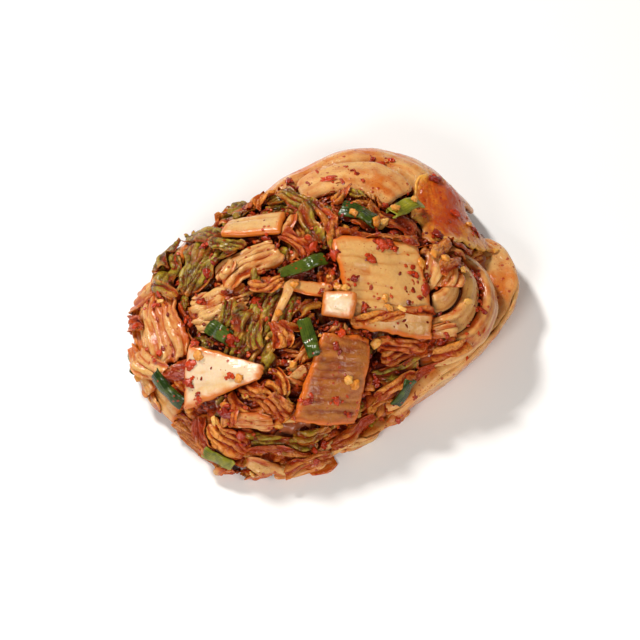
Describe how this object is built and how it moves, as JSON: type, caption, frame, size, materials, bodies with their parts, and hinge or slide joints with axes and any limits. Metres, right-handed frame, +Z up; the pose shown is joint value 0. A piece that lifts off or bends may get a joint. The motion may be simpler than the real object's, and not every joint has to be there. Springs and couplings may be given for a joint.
{
  "type": "kimchi",
  "caption": "Oval heap of cut napa cabbage kimchi: ridged stem slices, crumpled leaves, nested stem ends and spring onion over fine cuts in pepper paste.",
  "frame": {"origin": "on the flat underside, in the middle of the heap's oval footprint", "axes": "+Z up from the surface the heap lies on, +X to the right of the side it is seen from, +Y away from it"},
  "size_m": [0.151, 0.1471, 0.0548],
  "materials": {
    "fine_cuts": "wet, glossy red pepper paste with fine cuts of cabbage",
    "stem": "wet, glossy pale tan stem with fine ribs, stained orange at its cut edges",
    "white_stem": "wet, glossy cream white stem with fine ribs, stained orange at its cut edges",
    "leaf": "wet, crumpled orange brown leaf",
    "green_leaf": "wet, crumpled olive green leaf",
    "outer_leaf": "wet, smooth pale orange outer leaf with pepper flakes",
    "spring_onion": "wet, glossy dark green spring onion leaf"
  },
  "bodies": {
    "root": {"heap_core": "fine_cuts", "stem_slice_large": "stem", "stem_slice_front": "stem", "stem_slice_white": "white_stem", "stem_slice_back": "white_stem", "stem_chunk": "white_stem", "stem_slice_low_left": "stem", "stem_slice_rear_left": "stem", "stem_arc_inner": "stem", "stem_arc_middle": "stem", "stem_arc_outer": "stem", "folded_stem_left": "stem", "flat_strip_middle": "stem", "rib_fan_left": "stem", "onion_leaf_top": "spring_onion", "onion_stalk_top": "spring_onion", "onion_leaf_middle": "spring_onion", "onion_leaf_centre": "spring_onion", "onion_leaf_left": "spring_onion", "onion_leaf_low_left": "spring_onion", "onion_tip_left": "spring_onion", "onion_leaf_low": "spring_onion", "onion_leaf_right": "spring_onion", "green_bundle_left": "green_leaf", "green_leaf_centre": "green_leaf", "green_leaf_back": "green_leaf", "green_leaf_middle": "green_leaf", "wrinkled_leaf_left": "leaf", "ribbed_leaf_back": "leaf", "curled_leaf_right": "leaf", "leaf_under_slice": "leaf", "pleated_leaf_front": "leaf", "curled_leaf_front": "leaf", "rib_leaf_front": "leaf", "leaf_rear_left": "leaf", "leaf_layer_1": "leaf", "leaf_layer_2": "leaf", "leaf_layer_3": "leaf", "leaf_layer_4": "leaf", "draped_leaf": "outer_leaf", "inner_leaf_back": "outer_leaf", "outer_leaf_back": "outer_leaf", "outer_leaf_right": "outer_leaf", "outer_leaf_low_right": "outer_leaf", "outer_leaf_low_front": "outer_leaf"}
  },
  "joints": []
}
